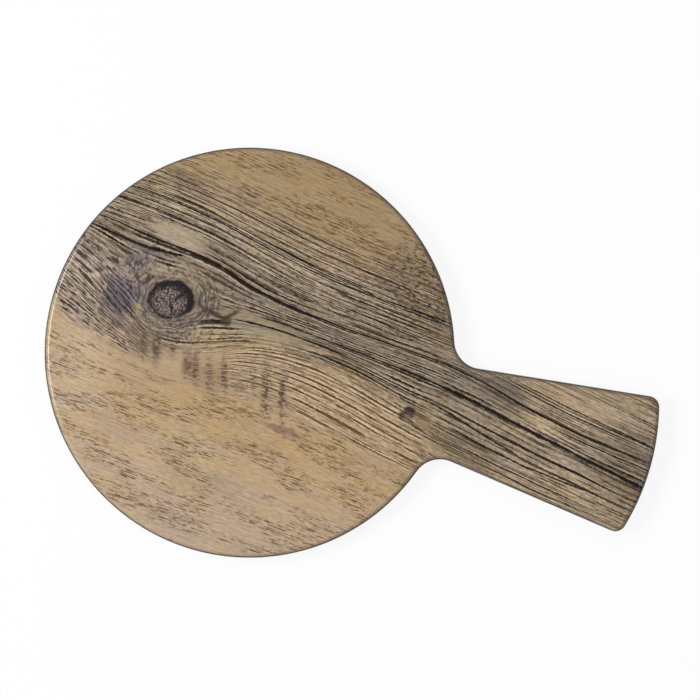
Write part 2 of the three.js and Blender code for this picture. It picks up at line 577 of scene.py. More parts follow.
def paint(red, green, blue):
    # a colour as seen on screen, 0 to 255, as the shader wants it
    def linear(level):
        share = level / 255
        return share / 12.92 if share <= 0.04045 else ((share + 0.055) / 1.055) ** 2.4

    return (linear(red), linear(green), linear(blue), 1)


def painted(colour, tint, *masks):
    return mixColour(times(*masks), colour, paint(*tint))


def makeMouldGrain():
    # fine pits and soft clouds of a moulded surface, sizes in millimetres
    group, given, result = newGroup(
        "mouldGrain", {"Pit": 0.5, "Cloud": 20.0, "Seed": 0.0}, {"Pits": "Float", "Clouds": "Float"}
    )
    where = addNode(group, "TexCoord").outputs["Object"]
    for output, size in (("Pits", "Pit"), ("Clouds", "Cloud")):
        scale = over(1 / mm, given[size])
        noise = addNode(group, "TexNoise", noise_dimensions="4D")
        plug(noise.inputs["Vector"], where)
        plug(noise.inputs["W"], given["Seed"])
        plug(noise.inputs["Scale"], scale)
        noise.inputs["Detail"].default_value = 3
        plug(result[output], noise.outputs["Fac"])
    return group


cloudRange = (0.3, 0.7)  # where the clouds start and where they are full


def finishShader(shader, values, colour, roughness, height):
    bump = addNode(treeOf(height), "Bump")
    bump.inputs["Distance"].default_value = values["bumpDepth"]
    plug(bump.inputs["Height"], height)
    plug(shader.inputs["Normal"], bump.outputs["Normal"])
    plug(shader.inputs["Base Color"], colour)
    plug(shader.inputs["Roughness"], roughness)
    shader.inputs["Specular IOR Level"].default_value = values["specular"]


def newMaterial(name):
    material = bpy.data.materials.new(name)
    material.use_nodes = True
    tree = material.node_tree
    return material, tree, tree.nodes["Principled BSDF"]


def mouldedSkin(tree, grainGroup, values):
    # pits and clouds, and the uneven gloss that goes with the clouds
    skin = useGroup(
        tree, grainGroup, {"Pit": values["pit"], "Cloud": values["cloud"], "Seed": values["seed"]}
    )
    return skin, mapTo(skin["Clouds"], *cloudRange, *values["roughness"])


# Wood print. Places are millimetres from the disc's centre, along the handle and across it.

woodFlow = {
    "spanX": (-140, 270),
    "spanY": (-150, 150),
    # lines that the grain follows, each with its level: its height where x is 40
    "guides": (
        (-113, ((-140, -100), (270, -129))),
        (-43, ((-140, -29), (0, -39), (130, -52), (270, -68))),
        (-27, (
            (-140, -2), (-110, -11), (-85, -18), (-50, -25), (-10, -22), (15, -22),
            (50, -28), (90, -37), (270, -62),
        )),
        (4, (
            (-140, 30), (-110, 17), (-80, 0), (-50, -12), (-25, -7), (0, 2), (22, 5),
            (55, 3), (100, -8), (150, -18), (270, -37),
        )),
        (20.5, (
            (-140, 48), (-110, 37), (-80, 25), (-50, 19.5), (-15, 21.5), (2, 22.5), (40, 20.5),
            (90, 16), (140, 9.5), (180, 1), (252, -12), (270, -15),
        )),
        (31.5, (
            (-140, 58), (-110, 55.5), (-68, 50.5), (-32, 45.3), (-10, 39), (10, 35), (40, 31.6),
            (75, 29.5), (130, 24.5), (190, 11), (225, 6), (270, 1),
        )),
        (55, (
            (-140, 78), (-90, 76), (-50, 72), (-10, 64), (30, 56.5), (70, 52), (110, 48),
            (150, 42), (200, 33), (270, 22),
        )),
        (105, ((-140, 128), (270, 75))),
    ),
    "wobbleLength": 45,
    "wobbleSpacing": 9,
    "wobble": 2.2,
    "wobbleAlong": 3,
    "gritScale": 0.8,
    "grit": 0.8,
    "knotCentre": (-54.5, 18, 0),
    "knotRadii": (15, 12, 1),
    "knotLevel": 20,
    "knotTurn": 16,
    "knotPush": 1.02,  # how far the grain is pushed aside at the knot's edge
    "knotFade": -3.0,  # how fast the push dies away from it
}


def makePrintPlace():
    # the print runs on over the rounded edge and down the wall
    group, _, result = newGroup("printPlace", {}, {"Place": "Vector"})
    where = addNode(group, "TexCoord").outputs["Object"]
    at = parted(vectorCalc("MULTIPLY_ADD", where, (1 / mm, 1 / mm, 1 / mm), (-discX / mm, 0, 0))[0])
    facing = parted(addNode(group, "NewGeometry").outputs["Normal"])
    drop = minus(boardShape["topLevel"] / mm, at["Z"])
    plug(result["Place"], packed(*[timesPlus(facing[axis], drop, at[axis]) for axis in ("X", "Y")]))
    return group


def makeSoftPatch():
    # 1 in the middle of a turned ellipse, 0 outside it
    group, given, result = newGroup(
        "softPatch",
        {"Place": (0, 0, 0), "Centre": (0, 0, 0), "Turn": 0.0, "Radii": (1, 1, 1), "Core": 0.3},
        {"Mask": "Float", "Reach": "Float"},
    )
    fromCentre = vectorCalc("SUBTRACT", given["Place"], given["Centre"])[0]
    turned = addNode(group, "VectorRotate", rotation_type="Z_AXIS", invert=True)
    plug(turned.inputs["Vector"], fromCentre)
    plug(turned.inputs["Angle"], given["Turn"])
    sized = vectorCalc("DIVIDE", turned.outputs[0], given["Radii"])[0]
    reach = vectorCalc("LENGTH", sized)["Value"]
    plug(result["Reach"], reach)
    plug(result["Mask"], fadeOut(reach, (given["Core"], 1.0)))
    return group


def makeGrainFlow(patchGroup):
    group, given, result = newGroup(
        "grainFlow", {"Place": (0, 0, 0)}, {"Along": "Float", "Across": "Float"}
    )
    flow = woodFlow
    lowX, highX = flow["spanX"]
    lowY, highY = flow["spanY"]
    at = parted(given["Place"])
    x, y = at["X"], at["Y"]
    share = mapTo(x, lowX, highX, ease="LINEAR")

    heights = []
    for level, points in flow["guides"]:
        line = addNode(group, "FloatCurve")
        plug(line.inputs["Value"], share)
        curve = line.mapping.curves[0]
        shares = [((px - lowX) / (highX - lowX), (py - lowY) / (highY - lowY)) for px, py in points]
        curve.points[0].location = shares[0]
        curve.points[-1].location = shares[-1]
        for spot in shares[1:-1]:
            curve.points.new(*spot)
        line.mapping.update()
        heights.append(timesPlus(line.outputs[0], highY - lowY, lowY))

    levels = [level for level, points in flow["guides"]]
    across = plus(calc("MINIMUM", minus(y, heights[0]), 0.0), levels[0])
    for i in range(len(levels) - 1):
        rise = mapTo(y, heights[i], heights[i + 1], 0.0, levels[i + 1] - levels[i], ease="LINEAR")
        across = plus(across, rise)
    across = plus(across, largest(minus(y, heights[-1]), 0.0))

    # the grain parts round the knot
    knot = useGroup(
        group,
        patchGroup,
        {
            "Place": given["Place"],
            "Centre": flow["knotCentre"],
            "Radii": flow["knotRadii"],
            "Turn": math.radians(flow["knotTurn"]),
        },
    )
    near = calc("POWER", largest(knot["Reach"], 1.0), flow["knotFade"])
    pushed = times(minus(across, flow["knotLevel"]), minus(flow["knotPush"], near))
    across = plus(pushed, flow["knotLevel"])

    wobblePlace = packed(over(x, flow["wobbleLength"]), over(across, flow["wobbleSpacing"]))
    wobble = aboutZero(noiseAt(wobblePlace, detail=3))
    grit = aboutZero(noiseAt(given["Place"], scale=flow["gritScale"]))
    across = timesPlus(grit, flow["grit"], across)
    plug(result["Along"], timesPlus(wobble, flow["wobbleAlong"], x))
    plug(result["Across"], timesPlus(wobble, flow["wobble"], across))
    return group


def makeRaggedPlace():
    # a place pushed about, so that edges on it come out ragged
    group, given, result = newGroup(
        "raggedPlace", {"Place": (0, 0, 0), "Scale": 0.1, "Push": 5.0}, {"Place": "Vector"}
    )
    at = parted(given["Place"])
    scaled = packed(*[times(at[axis], given["Scale"]) for axis in (0, 1)])
    noise = addNode(group, "TexNoise")
    plug(noise.inputs["Vector"], scaled)
    noise.inputs["Scale"].default_value = 1
    noise.inputs["Detail"].default_value = 3
    shifts = addNode(group, "SeparateColor")
    plug(shifts.inputs[0], noise.outputs["Color"])
    pushed = [timesPlus(aboutZero(shifts.outputs[axis]), given["Push"], at[axis]) for axis in (0, 1)]
    plug(result["Place"], packed(*pushed))
    return group


# Marks along the grain: lengths in millimetres, the rest shares of a line's width or of the noise
grainMarks = {
    "lineCore": 0.6,  # share of a line's half width that is fully dark
    "crackOpening": 20,
    "crackClosing": 25,
    "crackRagged": 0.17,  # swellings per millimetre
    "crackLeast": 0.5,
    "crackTip": 0.4,
    "crackFade": 0.4,
    "rowShift": 13.7,  # the two shifts keep rows from breaking side by side
    "rowRaggedShift": 31.3,
    "rowRagged": 3.0,
    "rowSwell": 1.2,
    "rowLeast": 0.4,
    "rowFaint": 0.4,
    "rowFade": 0.1,
    "zoneLoss": 0.15,  # lines lost where their zone ends
    "zoneFull": 0.7,
    "dashFade": 0.1,
}


def lineEdge(off, half):
    return fadeOut(off, (times(half, grainMarks["lineCore"]), half))


def grainNoise(along, across, length, spacing, seed):
    # noise with its own length along the grain and spacing across it
    return noiseAt(packed(over(along, length), over(across, spacing), seed))


def makeCrackLine():
    # one dark line along the grain, tapering to both ends
    group, given, result = newGroup(
        "crackLine",
        {"Along": 0.0, "Across": 0.0, "From": 0.0, "To": 1.0, "Level": 0.0, "EndLevel": 0.0, "Width": 1.0},
        {"Mask": "Float"},
    )
    marks = grainMarks
    ends = (given["From"], given["To"], given["Level"], given["EndLevel"])
    off = calc("ABSOLUTE", minus(given["Across"], mapTo(given["Along"], *ends, ease="LINEAR")))
    opening = mapTo(minus(given["Along"], given["From"]), 0.0, marks["crackOpening"])
    closing = mapTo(minus(given["To"], given["Along"]), 0.0, marks["crackClosing"])
    taper = times(opening, closing)
    ragged = noiseAt(timesPlus(given["Along"], marks["crackRagged"], given["Level"]), dimensions="1D")
    half = times(given["Width"], 0.5, plus(ragged, marks["crackLeast"]))
    half = times(half, mapTo(taper, 0.0, 1.0, marks["crackTip"], 1.0))
    edge = lineEdge(off, half)
    plug(result["Mask"], times(edge, mapTo(taper, 0.0, marks["crackFade"])))
    return group


def makeLongLines():
    # uneven rows of thin dark lines that come and go along the grain
    group, given, result = newGroup(
        "longLines",
        {
            "Along": 0.0, "Across": 0.0, "Zone": 1.0, "Length": 80.0,
            "Spacing": 4.0, "Width": 1.0, "Gaps": 0.46, "Seed": 0.0,
        },
        {"Mask": "Float"},
    )
    marks = grainMarks
    spaced = plus(over(given["Across"], given["Spacing"]), given["Seed"])
    rows = addNode(group, "TexVoronoi", voronoi_dimensions="1D")
    rows.inputs["Scale"].default_value = 1
    plug(rows.inputs["W"], spaced)
    row = rows.outputs["W"]
    run = timesPlus(row, marks["rowShift"], over(given["Along"], given["Length"]))
    tone = minus(noiseAt(run, dimensions="1D"), given["Gaps"])
    tone = timesPlus(minus(1.0, given["Zone"]), -marks["zoneLoss"], tone)
    presence = mapTo(tone, -marks["rowFade"], marks["rowFade"])
    short = over(given["Along"], marks["rowRagged"])
    ragged = noiseAt(timesPlus(row, marks["rowRaggedShift"], short), dimensions="1D")
    half = times(given["Width"], 0.5, timesPlus(ragged, marks["rowSwell"], marks["rowLeast"]))
    half = times(half, timesPlus(presence, 1 - marks["rowFaint"], marks["rowFaint"]))
    edge = lineEdge(times(rows.outputs["Distance"], given["Spacing"]), half)
    kept = times(presence, mapTo(given["Zone"], 0.0, marks["zoneFull"]))
    plug(result["Mask"], times(edge, kept))
    return group


def makeDashes():
    # short dark dashes, closer together where Crowd is higher
    group, given, result = newGroup(
        "dashes",
        {
            "Along": 0.0, "Across": 0.0, "Length": 5.0, "Spacing": 0.9,
            "Seed": 0.0, "Limit": 0.6, "Crowd": 0.0,
        },
        {"Mask": "Float"},
    )
    noise = grainNoise(*(given[name] for name in ("Along", "Across", "Length", "Spacing", "Seed")))
    tone = plus(noise, given["Crowd"])
    plug(result["Mask"], mapTo(tone, given["Limit"], plus(given["Limit"], grainMarks["dashFade"])))
    return group


woodPrint = {
    # colour of the wood between its lines, by the level across the grain
    "tones": (
        (-118, (191, 170, 147)),
        (-90, (194, 172, 145)),
        (-60, (193, 167, 132)),
        (-43, (190, 164, 128)),
        (-27, (189, 164, 131)),
        (-12, (187, 164, 133)),
        (2, (184, 162, 131)),
        (12, (160, 145, 121)),
        (20, (142, 128, 110)),
        (30, (146, 132, 115)),
        (42, (170, 154, 133)),
        (58, (184, 167, 143)),
        (72, (173, 153, 123)),
        (88, (173, 151, 116)),
        (118, (169, 145, 109)),
    ),
    "toneSpan": (-125, 125),
    # length, spacing and seed of the fine fibres, their darkest and palest factors, and how deep they
    # show on smooth and on rough wood
    "streaks": (18, 0.8, 0.0),
    "grains": (4, 0.8, 17.0),
    "fibreRange": (0.78, 1.22),
    "grain": ((0.55, 0.49, 0.41, 1), (1.4, 1.4, 1.4, 1)),
    "fibreDepth": 0.4,
    "fibreRough": 0.45,
    "crackColour": (22, 12, 6),
    "knotRim": (32, 26, 28),
    # painted shade: the print darkens to this colour where the rounded edge turns down, for the dark
    # outline along the edge
    "rimShadeColour": (40, 30, 23),
    "rimShadeFade": (0.4, 0.7),  # z of the normal
    "rimShadeStrength": 0.9,
    "rimRoughness": 0.85,
    "roughness": (0.22, 0.28),
    "specular": 0.5,
    "pit": 1.6,  # size of the faint orange peel in the overlay
    "bumpDepth": 0.012 * mm,
    "cloud": 30,
    "seed": 0.0,
    # noise scale and push of the places that give ragged edges
    "ragged": (0.12, 11.0),
    "fineRagged": (0.2, 4.0),
    "knotRagged": (0.3, 7.0),
    # name, colour, strength, middle, radii, turn in degrees
    "patches": (
        ("handle", (181, 164, 142), 0.85, (190, -8), (85, 46), -8),
        ("neck grey", (150, 140, 128), 0.6, (122, 22), (20, 13), 0),
        ("handle grey", (122, 112, 104), 0.85, (156, 20), (24, 13), -10),
        ("handle tan", (190, 169, 139), 0.9, (198, 25), (42, 17), -8),
        ("handle tan low", (200, 181, 151), 0.9, (190, 7), (24, 11), -10),
        ("handle tan foot", (192, 172, 146), 0.7, (206, -24), (34, 12), -10),
        ("neck low", (142, 124, 102), 0.85, (142, -20), (34, 14), -10),
        ("butt grey", (132, 119, 104), 0.65, (238, -4), (27, 30), -10),
        ("handle middle", (150, 135, 115), 0.7, (154, -6), (40, 9), -10),
        ("right shade", (151, 135, 115), 0.85, (92, 64), (40, 36), -30),
        ("upper smear", (128, 114, 98), 0.6, (-64, 88), (24, 9), -14),
        ("left", (188, 173, 159), 0.85, (-104, 12), (34, 36), -20),
        ("left rim pale", (200, 180, 154), 0.8, (-100, -27), (36, 18), -12),
        ("lower left", (198, 178, 153), 0.75, (-98, -52), (38, 26), -10),
        ("upper left rim", (140, 122, 98), 0.7, (-92, 78), (22, 14), 35),
        ("neck corner", (140, 122, 100), 0.6, (112, 42), (12, 14), 0),
        ("above knot", (182, 167, 148), 0.85, (-60, 54), (24, 9), -12),
        ("fan end", (150, 130, 106), 0.6, (106, -12), (18, 12), -10),
        ("stain top", (118, 110, 114), 0.85, (-78, 40), (17, 16), -20),
        ("stain", (114, 105, 116), 0.95, (-86, 10), (16, 24), 16),
        ("stain right", (124, 113, 117), 0.8, (-70, 14), (15, 14), 0),
        ("stain foot", (150, 131, 110), 0.75, (-62, -8), (19, 13), -15),
        ("knot shade", (118, 106, 100), 0.7, (-50, 8), (22, 13), -10),
        ("knot right", (128, 117, 104), 0.7, (-32, 22), (12, 12), 0),
        ("knot ring", (170, 154, 130), 0.85, (-60, 34), (18, 8), 10),
        ("knot ring right", (160, 147, 122), 0.7, (-40, 33), (10, 7), -40),
        ("yellow", (186, 168, 126), 0.75, (-25, 3), (17, 13), 10),
        ("yellow right", (194, 172, 128), 0.8, (-4, 6), (18, 6), -8),
        ("yellow spot", (186, 170, 104), 0.9, (-72, 5.5), (5, 2.4), -47),
        ("yellow corner", (172, 152, 108), 0.8, (-105, 43), (6, 8), 20),
        ("ladder blob", (130, 110, 100), 0.6, (-32, -19), (8, 9), 16),
        ("ladder shade", (156, 136, 112), 0.6, (-20, -22), (12, 14), 16),
        ("tail pale", (172, 157, 132), 0.7, (2, 15), (36, 11), -8),
        ("fan blot", (100, 80, 70), 0.8, (8, 2.5), (10, 3), -4),
        ("smear 1", (132, 106, 86), 0.7, (33, -40), (21, 2.8), -6),
        ("smear 2", (152, 122, 94), 0.55, (12, -56), (12, 3.6), -6),
        ("smear 3", (160, 134, 106), 0.6, (76, -46), (9, 3), 0),
        ("pink 1", (186, 160, 136), 0.6, (-60, -66), (30, 12), -8),
        ("pink 2", (180, 156, 132), 0.6, (0, -84), (40, 12), -6),
        ("golden", (188, 162, 120), 0.5, (10, -48), (50, 12), -6),
    ),
    # name, from, to, level, level at the end, width
    "cracks": (
        ("long", -96, 262, 31.5, 31.5, 1.2),
        ("long, thick part", -70, 45, 31.5, 31.4, 2.0),
        ("left", -150, -46, 25.6, 29.9, 1.0),
        ("handle", -6, 262, 20.5, 20.5, 1.1),
        ("handle, wide part", 108, 296, 20.5, 20.5, 2.1),
        ("knot tail", -20, 72, 17.8, 14.0, 1.1),
        ("right", 66, 124, 57.0, 60.0, 1.5),
        ("handle 1", 160, 264, 44.0, 43.0, 1.0),
        ("handle 2", 108, 182, 12.6, 8.5, 1.0),
        ("handle 3", 124, 192, 6.7, 5.6, 1.0),
        ("handle 4", 156, 244, 12.4, 13.0, 1.0),
        ("handle 5", 170, 228, 5.9, 8.2, 0.9),
        ("neck", 40, 126, 11.8, 12.6, 0.9),
        ("band 1", 40, 114, 44.0, 40.5, 0.9),
        ("band 2", 34, 114, 51.5, 49.3, 1.0),
        ("band 3", 38, 82, 59.2, 55.3, 0.9),
        ("band 4", -14, 42, 40.0, 39.6, 1.0),
        ("band 5", -78, 62, 61.0, 58.6, 0.9),
        ("band 6", -48, 72, 56.5, 56.0, 1.0),
    ),
    # zones across the grain: the levels where each fades in and out
    "bandLevels": (0, 11, 62, 92),
    "upperLevels": (54, 68, 84, 102),
    "fanLevels": (-38, -22, 4, 16),
    "leftLevels": (-31, -20, 19, 27),
    "quietBelow": (-38, -26),
    "quietAbove": (70, 92),
    # and along it
    "fanStart": (-25, 5),
    "fanEnd": (100, 130),
    "leftEnd": (-76, -42),
    "handleStart": (100, 128),
    # zones by middle, radii, turn and core, and what some of them take off the others
    "stainZone": ((-86, 9), (17, 24), 16, 0.4),
    "stainCover": 0.7,
    "plainZone": ((212, 31), (42, 15), -4, 0.5),
    "plainCover": 0.55,
    "tailZones": (((4, 16), (44, 13), -8, 0.5), ((-58, 55), (26, 10), -12, 0.5)),
    "tailCover": 0.75,
    "rightZone": ((92, 70), (42, 38), -30),
    # speckled wood beside the knot, and the ring of it round the knot
    "mottles": (((-75, 27), (19, 17), 0, 0.5), ((-45, 3), (22, 9), 0, 0.5), ((-32, 21), (9, 11), 0, 0.5)),
    "mottleRing": (1.5, 1.9, 0.8, 0.0),
    "mottleCover": 0.85,
    # length, spacing and seed of the clumps that thin the quiet marks and the knot's rings
    "crowdClumps": (40, 12, 9.0),
    "quietCrowd": (0.4, 0.6, 0.1, 1.0),
    # middle, radii and strength of the columns of ticks below the knot, first two wide faint zones
    "ladders": (
        ((-4, -19), (46, 24), 0.5),
        ((-58, -10), (18, 15), 0.5),
        ((-70, -6), (5, 10), 0.85),
        ((-63.4, -13), (6, 17), 1.12),
        ((-55.4, -12), (5.6, 20), 1.16),
        ((-46, -9), (6, 14), 0.9),
        ((-34, -17), (6.4, 20), 1.0),
        ((-29, -18), (5.4, 22), 1.05),
        ((-20, -19), (5.6, 21), 1.0),
        ((-10.6, -18), (4.4, 26), 1.1),
        ((6, -13), (4.4, 28), 0.85),
        ((16, -19), (6.4, 31), 1.05),
        ((26.6, -20), (4.8, 33), 1.15),
    ),
    "ladderTurn": 16,
    "ladderCore": 0.1,
    "ladderDark": (70, 49, 42),
    "ladderShade": (150, 127, 108),
    "ladderShadeStrength": 0.3,
    "ticks": {"Length": 4.4, "Spacing": 1.0, "Limit": 0.76, "Seed": 75.0},
    "tickCrowd": 0.3,
    "tickStrength": 0.75,
    # zone, colour, strength, then length, spacing, width, gaps and seed of rows of lines along the
    # grain; a wide pale row and a thin dark one with the same seed make a line with pale borders
    "rows": (
        ("fan", (230, 208, 174), 0.9, 34, 3.8, 3.1, 0.42, 11.3),
        ("fan", (84, 54, 26), 0.95, 34, 3.8, 1.6, 0.42, 11.3),
        ("fan", (96, 65, 35), 0.85, 26, 1.9, 0.9, 0.45, 23.3),
        ("fan", (210, 188, 154), 0.6, 40, 3.1, 0.9, 0.44, 37.3),
        ("band", (198, 183, 160), 0.75, 70, 3.2, 2.3, 0.42, 41.3),
        ("band", (40, 25, 11), 1.0, 70, 3.2, 1.05, 0.42, 41.3),
        ("band", (62, 44, 28), 0.9, 34, 1.4, 0.72, 0.45, 53.3),
        ("band", (34, 20, 9), 1.0, 130, 9, 1.05, 0.47, 67.3),
        ("upper", (106, 73, 44), 0.85, 13, 2.2, 0.9, 0.48, 71.3),
        ("handle", (198, 181, 156), 0.65, 130, 5.4, 2.1, 0.45, 83.3),
        ("handle", (34, 20, 9), 1.0, 130, 5.4, 1.1, 0.45, 83.3),
        ("handle", (66, 49, 36), 0.9, 36, 1.5, 0.78, 0.45, 97.3),
        ("left", (214, 198, 180), 0.85, 12, 2.6, 2.6, 0.47, 101.3),
        ("left", (56, 43, 38), 0.95, 12, 2.6, 1.75, 0.46, 101.3),
        ("left", (72, 58, 53), 0.8, 8, 1.4, 0.8, 0.47, 109.3),
        ("stain", (44, 36, 42), 0.9, 9, 1.5, 0.95, 0.42, 113.3),
        ("quiet", (98, 71, 47), 0.8, 6, 1.6, 0.68, 0.49, 127.3),
        ("quiet", (92, 65, 42), 0.85, 12, 3.3, 0.8, 0.51, 131.3),
        ("ladder", (86, 62, 52), 0.75, 4.5, 1.9, 1.0, 0.44, 149.3),
    ),
    # zone, colour, strength, length, spacing, limit and seed of the dashes
    "dashes": (
        ("left", (56, 44, 40), 0.6, 4.4, 1.4, 0.54, 2.0),
        ("right", (50, 35, 22), 0.85, 3.4, 1.1, 0.5, 8.1),
        ("band", (50, 34, 20), 0.6, 3.4, 0.8, 0.55, 14.2),
        ("handle", (60, 44, 30), 0.4, 3.2, 0.7, 0.55, 20.3),
        ("quiet", (100, 74, 51), 0.5, 4.5, 0.8, 0.54, 26.4),
        ("fan", (100, 75, 50), 0.6, 5, 0.9, 0.54, 32.5),
        ("mottle", (58, 48, 50), 0.75, 2, 1.3, 0.5, 38.6),
        ("mottle", (172, 160, 154), 0.6, 2, 1.3, 0.54, 44.7),
    ),
    # drift of the colour from golden to grey, and its clumps
    "drift": ((1.02, 0.99, 0.91, 1), (0.97, 0.98, 1.03, 1)),
    "driftClumps": (38, 9, 3.0),
    "driftRange": (0.36, 0.64),
    # blots painted after the lines, in the same order of values and with their core:
    # the crotch where the grain closes again behind the knot, the knot's split, the small knot
    "crotch": (
        ("crotch", (58, 46, 40), 0.8, (-25.7, 17), (9, 2.2), -12, 0.4),
        ("crotch tip", (58, 46, 40), 0.8, (-16.8, 19.5), (7, 2), 47, 0.4),
        ("crotch foot", (58, 46, 40), 0.8, (-19, 14.4), (4.5, 5), 0, 0.4),
    ),
    "knotSplits": (
        ("split", (22, 12, 6), 0.85, (-53.5, 13), (1.5, 8.5), 22),
        ("split branch", (22, 12, 6), 0.85, (-50.5, 21), (2.2, 6), -24),
    ),
    "smallKnot": (("small knot", (56, 40, 36), 0.85, (103.3, -8.2), (5.2, 4.4), 0, 0.6),),
    "smallKnotCore": (("small knot core", (138, 118, 120), 0.75, (102.6, -10), (3.4, 2)),),
    "smallKnotLines": (
        ("small knot top", (56, 40, 36), 0.8, (103, -6), (5, 2.2), 12, 0.4),
        ("small knot side", (56, 40, 36), 0.8, (99.5, -11), (1.6, 3.5), 20, 0.4),
        ("small knot tail", (56, 40, 36), 0.8, (106, -14), (12, 1.1), -14, 0.4),
    ),
    # the big knot, in shares of its radius
    "ringColour": (58, 46, 40),
    "ringScale": 5,
    "ringLine": (0.05, 0.2),
    "ringReach": (1.0, 1.1, 1.6, 2.1),
    "ringCrowd": (0.36, 0.56),
    "ringStrength": 0.8,
    "knotEdge": (0.9, 1.06),
    "knotCore": (160, 141, 135),
    "knotCorePlace": ((-55.7, 16.2), (12.6, 10.6)),
    "knotCoreEdge": 0.6,
    "knotCoreStrength": 0.92,
    "knotGrit": 0.8,
    "knotGritRange": (0.36, 0.66),
}


def makeWoodPrint(grainGroup):
    values = woodPrint
    material, tree, shader = newMaterial("woodPrint")
    patchGroup = makeSoftPatch()
    crackGroup = makeCrackLine()
    lineGroup = makeLongLines()
    dashGroup = makeDashes()
    raggedGroup = makeRaggedPlace()
    place = useGroup(tree, makePrintPlace(), {})["Place"]
    flow = useGroup(tree, makeGrainFlow(patchGroup), {"Place": place})
    along, across = flow["Along"], flow["Across"]

    def raggedBy(scale, push):
        return useGroup(tree, raggedGroup, {"Place": place, "Scale": scale, "Push": push})["Place"]

    def onGrain(group, label="", **inputs):
        return useGroup(tree, group, {"Along": along, "Across": across, **inputs}, label)["Mask"]

    def patchAt(where, middle, radii, turn=0.0, core=0.3, label="", wanted="Mask"):
        inputs = {
            "Place": where,
            "Centre": (middle[0], middle[1], 0),
            "Radii": (radii[0], radii[1], 1),
            "Turn": math.radians(turn),
            "Core": core,
        }
        return useGroup(tree, patchGroup, inputs, label)[wanted]

    def clumps(*sizes):
        return grainNoise(along, across, *sizes)

    def blotted(colour, where, blots):
        for name, tint, strength, *blot in blots:
            colour = painted(colour, tint, patchAt(where, *blot, label=name), strength)
        return colour

    ragged = raggedBy(*values["ragged"])
    fineRagged = raggedBy(*values["fineRagged"])
    lowTone, highTone = values["toneSpan"]
    toneLevel = mapTo(across, lowTone, highTone, ease="LINEAR")
    ramp = addNode(tree, "ValToRGB")
    plug(ramp.inputs[0], toneLevel)
    tones = ramp.color_ramp.elements
    while len(tones) < len(values["tones"]):
        tones.new(0.5)
    for stop, (level, tint) in zip(tones, values["tones"]):
        stop.position = (level - lowTone) / (highTone - lowTone)
        stop.color = paint(*tint)
    colour = blotted(ramp.outputs[0], ragged, values["patches"])

    # which part of the print this is
    knotTurn = woodFlow["knotTurn"]
    reach = patchAt(fineRagged, woodFlow["knotCentre"], woodFlow["knotRadii"], knotTurn, wanted="Reach")
    crowd = clumps(*values["crowdClumps"])
    columns = 0.0
    for middle, radii, strength in values["ladders"]:
        column = patchAt(fineRagged, middle, radii, values["ladderTurn"], values["ladderCore"])
        columns = largest(times(column, strength), columns)
    mottle = mapTo(reach, *values["mottleRing"])
    for spot in values["mottles"]:
        mottle = largest(patchAt(ragged, *spot), mottle)
    stain = patchAt(ragged, *values["stainZone"])
    clear = without(mottle, values["mottleCover"])
    handle = fadeIn(along, values["handleStart"])
    plain = patchAt(ragged, *values["plainZone"])
    tail = 0.0
    for spot in values["tailZones"]:
        tail = largest(patchAt(ragged, *spot), tail)
    fan = times(
        between(across, values["fanLevels"]),
        fadeIn(along, values["fanStart"]),
        fadeOut(along, values["fanEnd"]),
    )
    left = times(between(across, values["leftLevels"]), fadeOut(along, values["leftEnd"]))
    quiet = largest(fadeOut(across, values["quietBelow"]), fadeIn(across, values["quietAbove"]))
    zones = {
        "fan": fan,
        "band": times(
            between(across, values["bandLevels"]),
            clear,
            without(handle),
            without(tail, values["tailCover"]),
            without(left),
        ),
        "handle": times(handle, without(plain, values["plainCover"])),
        "left": times(left, clear, without(stain, values["stainCover"])),
        "stain": stain,
        "mottle": mottle,
        "upper": between(across, values["upperLevels"]),
        "quiet": times(quiet, mapTo(crowd, *values["quietCrowd"])),
        "ladder": columns,
        "right": patchAt(ragged, *values["rightZone"]),
    }

    # slow drift of the colour
    slow = clumps(*values["driftClumps"])
    golden, grey = (multiplied(colour, tint) for tint in values["drift"])
    colour = mixColour(fadeIn(slow, values["driftRange"]), golden, grey)

    # fine streaks and grains all over, deeper where the wood is rough
    rough = largest(zones["band"], zones["handle"], fan, left, mottle)
    fibres = plus(clumps(*values["streaks"]), clumps(*values["grains"]))
    tone = aboutZero(mapTo(fibres, *values["fibreRange"], ease="LINEAR"))
    tone = timesPlus(tone, timesPlus(rough, values["fibreRough"], values["fibreDepth"]), 0.5)
    dark, pale = (multiplied(colour, tint) for tint in values["grain"])
    colour = mixColour(tone, dark, pale)

    # pale and dark lines side by side, then dashes
    for zone, tint, strength, length, spacing, width, gaps, seed in values["rows"]:
        sizes = {"Length": length, "Spacing": spacing, "Width": width, "Gaps": gaps, "Seed": seed}
        colour = painted(colour, tint, onGrain(lineGroup, Zone=zones[zone], **sizes), strength)
    for zone, tint, strength, length, spacing, limit, seed in values["dashes"]:
        dash = onGrain(dashGroup, Length=length, Spacing=spacing, Limit=limit, Seed=seed)
        colour = painted(colour, tint, dash, zones[zone], strength)

    # columns of ticks below the knot
    colour = painted(colour, values["ladderShade"], columns, values["ladderShadeStrength"])
    ticks = onGrain(dashGroup, Crowd=times(columns, values["tickCrowd"]), **values["ticks"])
    colour = painted(colour, values["ladderDark"], ticks, values["tickStrength"])
    colour = blotted(colour, fineRagged, values["crotch"])

